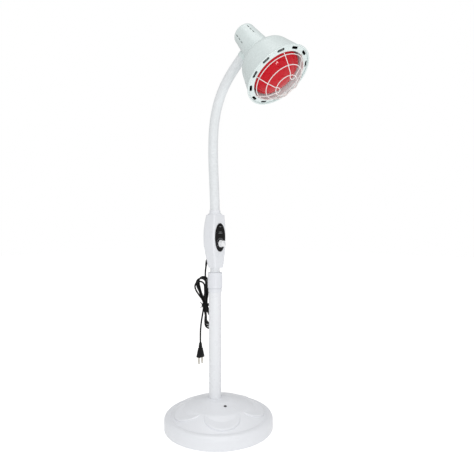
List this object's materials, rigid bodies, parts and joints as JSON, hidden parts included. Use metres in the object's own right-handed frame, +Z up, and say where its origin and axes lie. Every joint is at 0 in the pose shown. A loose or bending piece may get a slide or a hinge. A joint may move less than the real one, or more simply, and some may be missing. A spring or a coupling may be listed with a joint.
{
  "type": "infrared heat lamp on telescopic floor stand",
  "caption": "Free-standing infrared heat lamp: weighted petal base, twist-lock telescopic pole, dimmer box, gooseneck, guarded red reflector bulb",
  "frame": {"origin": "on the floor, at the centre of the round base", "axes": "+Z up, the lamp and the dimmer knob face -Y, +X to the right seen from the front"},
  "size_m": [0.28, 0.3871, 1.0031],
  "materials": {
    "base_plastic": "satin moulded ABS, cool white",
    "black_plastic": "black moulded plastic",
    "steel_plate": "painted steel sheet",
    "zinc_steel": "zinc plated steel",
    "rubber_pad": "soft foam rubber",
    "cast_ballast": "raw casting",
    "turned_steel": "turned steel",
    "pole_paint": "white powder coat",
    "lock_plastic": "white moulded plastic",
    "nylon": "natural nylon",
    "box_plastic": "white satin ABS",
    "gloss_panel": "black, high gloss",
    "black_rubber": "black PVC",
    "nickel": "nickel plated brass",
    "knob_plastic": "white gloss plastic",
    "neck_sleeve": "white ribbed PVC sleeve",
    "shade_paint": "white powder coat with a faint green cast",
    "ceramic": "glazed steatite",
    "red_glass": "red lacquered glass, glossy",
    "clear_glass": "clear glass",
    "tungsten": "tungsten wire",
    "guard_paint": "white powder coated wire"
  },
  "bodies": {
    "stand": {"base_cover": "base_plastic", "base_hole_plug": "black_plastic", "base_bottom_plate": "steel_plate", "base_screws": "zinc_steel", "base_pad": "rubber_pad", "ballast_weight": "cast_ballast", "pole_anchor": "turned_steel", "pole_bolt": "zinc_steel", "pole_bolt_washer": "zinc_steel", "lower_pole": "pole_paint", "lock_collar": "lock_plastic", "lock_collet": "nylon"},
    "lock": {"lock_sleeve": "lock_plastic"},
    "glide": {"pole_bush": "nylon"},
    "mast": {"upper_pole": "pole_paint", "upper_pole_foot": "nylon", "box_front_cover": "box_plastic", "box_rear_shell": "box_plastic", "box_screws": "zinc_steel", "dial_panel": "gloss_panel", "dimmer": "black_plastic", "terminal_block": "black_plastic", "cord_gland": "black_rubber", "neck_cuff": "box_plastic", "neck_nut": "zinc_steel", "neck_link_1": "neck_sleeve", "cord_upper": "black_rubber", "cord_hank": "black_rubber", "cord_tie": "black_rubber", "cord_tail": "black_rubber", "plug_body": "black_rubber", "plug_blades": "nickel"},
    "dial": {"knob": "knob_plastic", "dimmer_shaft": "turned_steel"},
    "head": {"neck_link_8": "neck_sleeve", "neck_saddle": "shade_paint", "neck_nipple": "turned_steel", "shade": "shade_paint", "face_ring": "shade_paint", "socket_housing": "shade_paint", "holder_bracket": "turned_steel", "lamp_holder": "ceramic", "holder_screw_shell": "nickel", "holder_contact": "nickel", "guard_rings": "guard_paint", "guard_hairpins": "guard_paint"},
    "bulb": {"bulb_glass": "red_glass", "bulb_cap": "nickel", "bulb_stem": "clear_glass", "filament": "tungsten"},
    "neck_2": {"neck_link_2": "neck_sleeve"},
    "neck_3": {"neck_link_3": "neck_sleeve"},
    "neck_4": {"neck_link_4": "neck_sleeve"},
    "neck_5": {"neck_link_5": "neck_sleeve"},
    "neck_6": {"neck_link_6": "neck_sleeve"},
    "neck_7": {"neck_link_7": "neck_sleeve"}
  },
  "joints": [
    {"name": "pole_swivel", "type": "hinge", "parent": "stand", "child": "glide", "pos_m": [0, 0.012, 0.345], "axis": [0, 0, 1], "range_deg": [-180, 180]},
    {"name": "pole_lift", "type": "slide", "parent": "glide", "child": "mast", "axis": [0, 0, 1], "range_m": [-0.008, 0.25]},
    {"name": "lock_turn", "type": "hinge", "parent": "stand", "child": "lock", "pos_m": [0, 0.012, 0.375], "axis": [0, 0, 1], "range_deg": [0, 120]},
    {"name": "dial_turn", "type": "hinge", "parent": "mast", "child": "dial", "pos_m": [0, -0.006, 0.4735], "axis": [0, -1, 0], "range_deg": [-135, 135]},
    {"name": "neck_bend_1", "type": "hinge", "parent": "mast", "child": "neck_2", "pos_m": [0, 0.01335, 0.59848], "axis": [1, 0, 0], "range_deg": [-14, 12]},
    {"name": "neck_side_2", "type": "hinge", "parent": "neck_2", "child": "neck_3", "pos_m": [0, 0.01604, 0.64991], "axis": [0, 0.9986, -0.0523], "range_deg": [-15, 15]},
    {"name": "neck_bend_3", "type": "hinge", "parent": "neck_3", "child": "neck_4", "pos_m": [0, 0.01784, 0.70137], "axis": [1, 0, 0], "range_deg": [-14, 12]},
    {"name": "neck_side_4", "type": "hinge", "parent": "neck_4", "child": "neck_5", "pos_m": [0, 0.01672, 0.75285], "axis": [0, 0.9981, 0.061], "range_deg": [-15, 15]},
    {"name": "neck_bend_5", "type": "hinge", "parent": "neck_5", "child": "neck_6", "pos_m": [0, 0.00889, 0.80368], "axis": [1, 0, 0], "range_deg": [-14, 12]},
    {"name": "neck_side_6", "type": "hinge", "parent": "neck_6", "child": "neck_7", "pos_m": [0, -0.00952, 0.85164], "axis": [0, 0.8829, 0.4695], "range_deg": [-15, 15]},
    {"name": "neck_bend_7", "type": "hinge", "parent": "neck_7", "child": "head", "pos_m": [0, -0.03934, 0.89344], "axis": [1, 0, 0], "range_deg": [-14, 12]},
    {"name": "bulb_turn", "type": "hinge", "parent": "head", "child": "bulb", "pos_m": [0, -0.18295, 0.86301], "axis": [0, -0.6361, -0.7716], "continuous": true}
  ]
}
